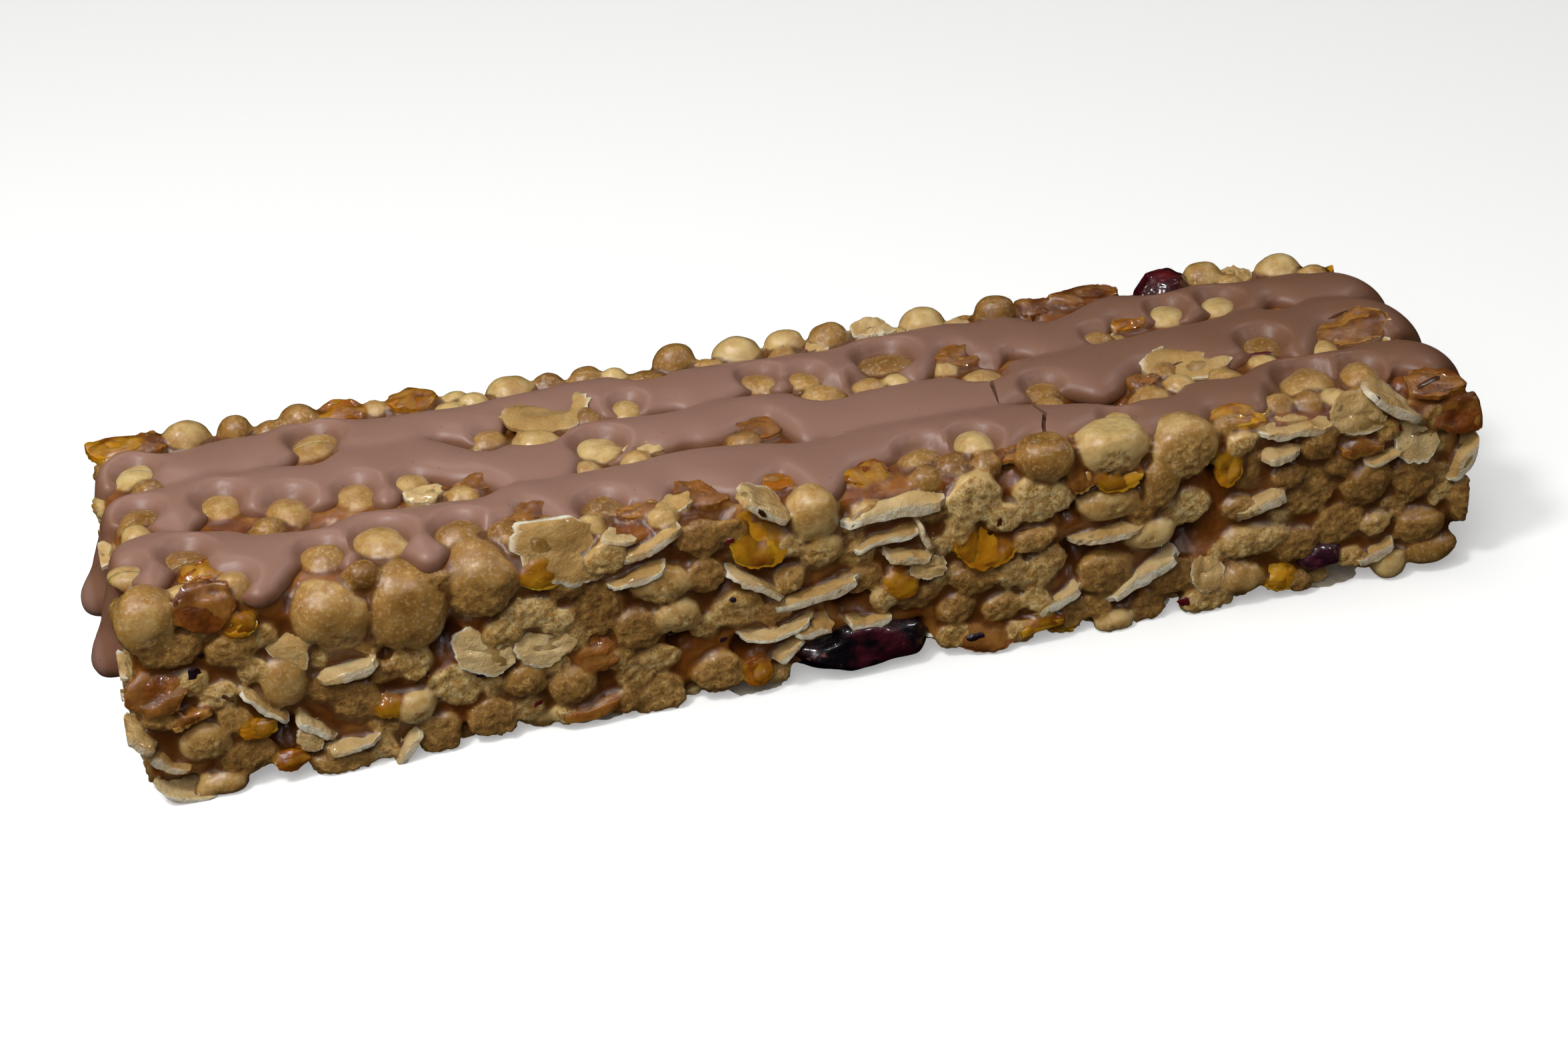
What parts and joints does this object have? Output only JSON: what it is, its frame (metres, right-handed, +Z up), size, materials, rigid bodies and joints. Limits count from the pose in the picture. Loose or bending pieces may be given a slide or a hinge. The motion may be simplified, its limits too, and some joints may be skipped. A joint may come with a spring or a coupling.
{
  "type": "granola bar",
  "caption": "Bar of puffed rice, rolled oats, corn flakes and dried fruit bound with syrup, with wavy runs of pink icing along its top and over its ends.",
  "frame": {"origin": "on the floor under the middle of the bar", "axes": "+X along the bar, to the right as its long cut side is faced; +Y away from that side; +Z up, through the icing"},
  "size_m": [0.1158, 0.03, 0.0184],
  "materials": {
    "cereal": "puffed rice, rolled oats and corn flakes under a thin gloss of syrup; dry foam where a grain is cut",
    "icing": "satin yoghurt icing in a greyed pink with fine dark specks",
    "dark_fruit": "wrinkled dried berry, blackish purple, moist",
    "red_fruit": "wrinkled dried berry, dark red, moist"
  },
  "bodies": {
    "root": {"cereal": "cereal", "icing": "icing", "dark_berry": "dark_fruit", "plum_berry": "dark_fruit", "red_berry": "red_fruit"}
  },
  "joints": []
}
